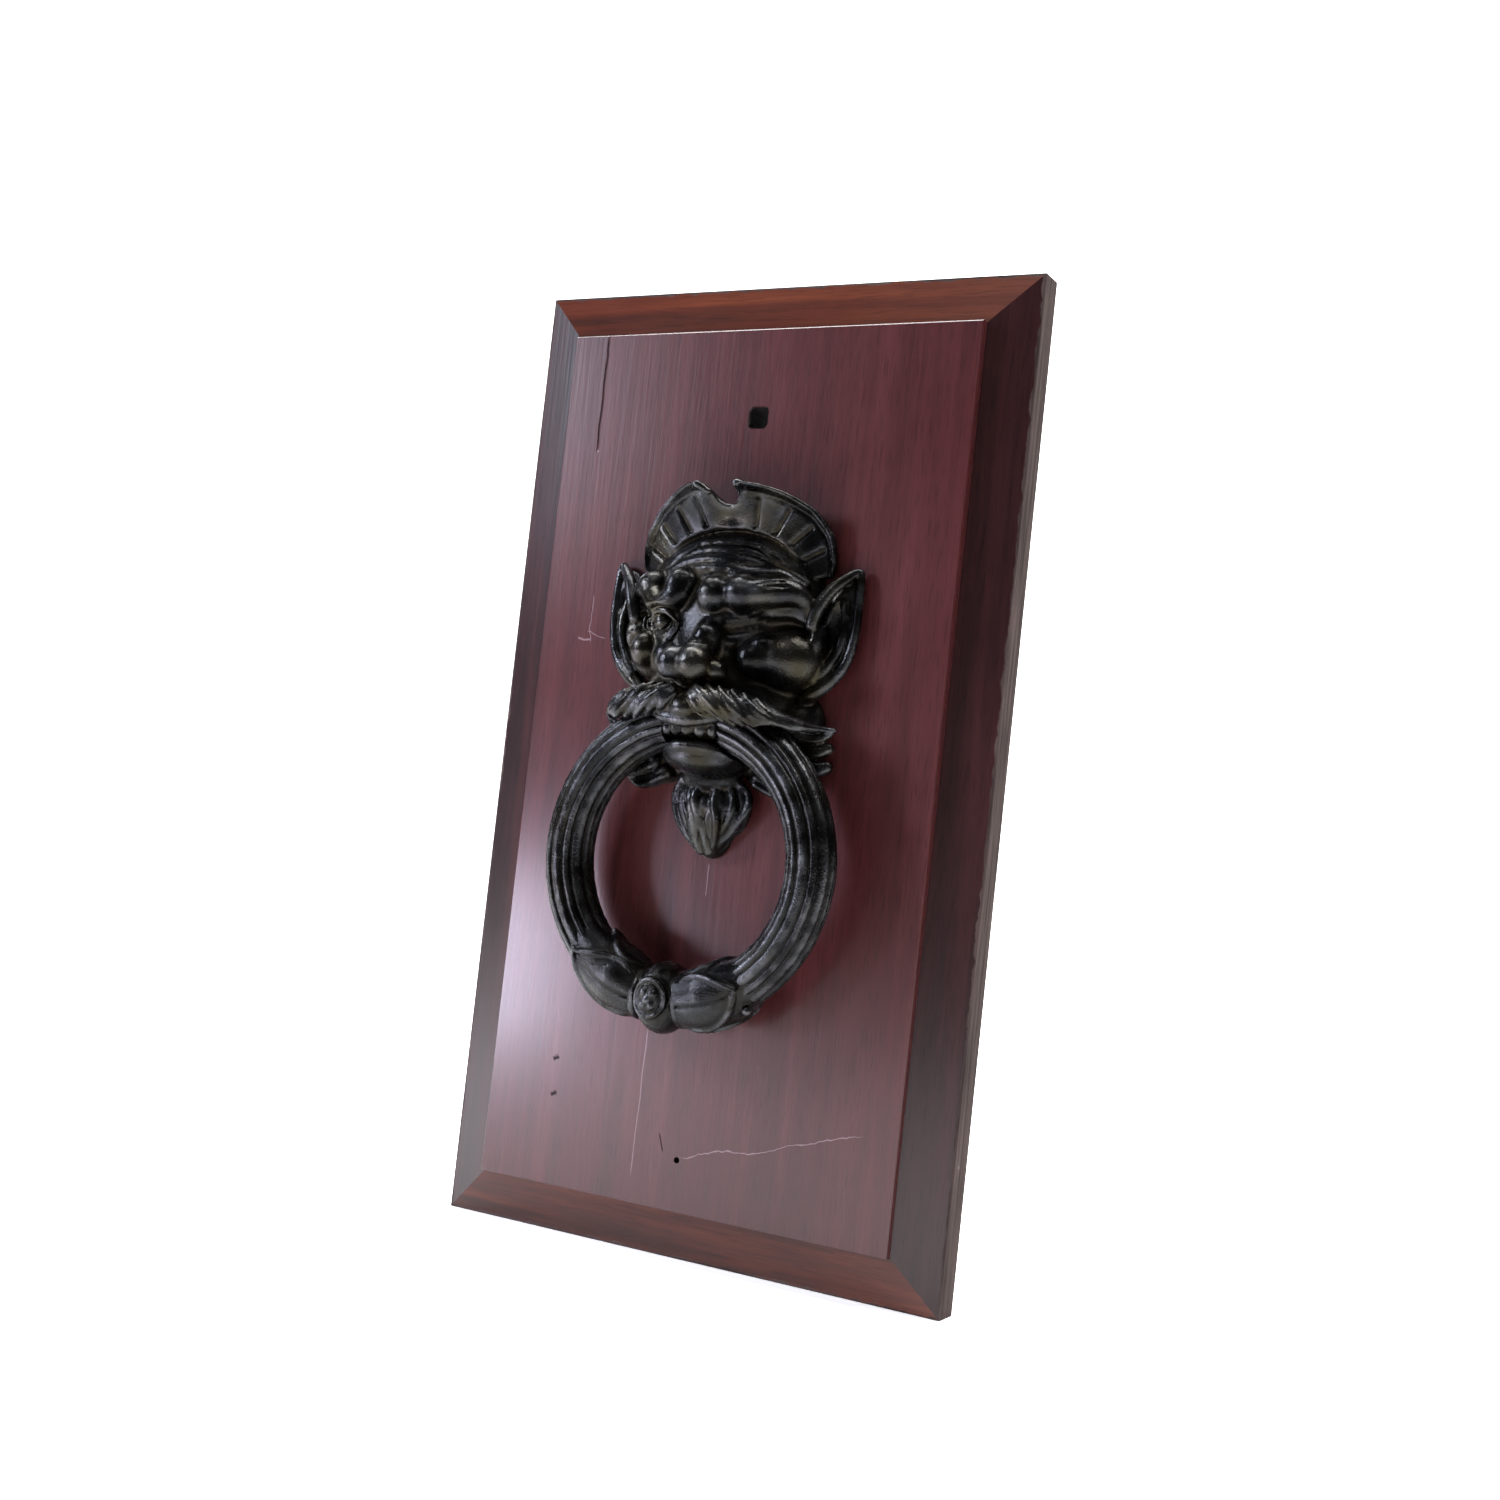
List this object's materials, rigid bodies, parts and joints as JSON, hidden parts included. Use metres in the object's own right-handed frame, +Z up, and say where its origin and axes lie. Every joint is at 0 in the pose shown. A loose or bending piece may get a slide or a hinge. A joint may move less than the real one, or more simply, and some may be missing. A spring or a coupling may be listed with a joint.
{
  "type": "door knocker",
  "caption": "Grotesque mask door knocker in cast iron, holding a reeded ring in its mouth, bolted to a framed raised mahogany board.",
  "frame": {"origin": "centre of the board's back face, where it meets the wall or door", "axes": "+Z up along the board's length, +Y into the wall, +X to the right of someone facing the knocker"},
  "size_m": [0.3, 0.0801, 0.522],
  "materials": {
    "panel_wood": "French-polished mahogany, worn",
    "border_wood": "dark stained mahogany moulding, worn at its edges",
    "spline_wood": "bare hardwood",
    "mask_iron": "black-brown sand-cast iron, rubbed on its high points",
    "ring_iron": "black sand-cast iron, rubbed on its reeds",
    "pin_steel": "dark drawn steel",
    "fixing_steel": "dull old steel",
    "anvil_iron": "dark iron, polished by the ring"
  },
  "bodies": {
    "board": {"raised_panel": "panel_wood", "top_border": "border_wood", "right_border": "border_wood", "bottom_border": "border_wood", "left_border": "border_wood", "mitre_splines": "spline_wood", "mask_casting": "mask_iron", "mask_studs": "fixing_steel", "stud_washers": "fixing_steel", "stud_nuts": "fixing_steel", "anvil_stud": "anvil_iron"},
    "ring": {"knocker_ring": "ring_iron", "pivot_pin": "pin_steel"}
  },
  "joints": [
    {"name": "ring_swing", "type": "hinge", "parent": "board", "child": "ring", "pos_m": [0, -0.0516, 0.021], "axis": [-1, 0, 0], "range_deg": [-0.45, 30]}
  ]
}
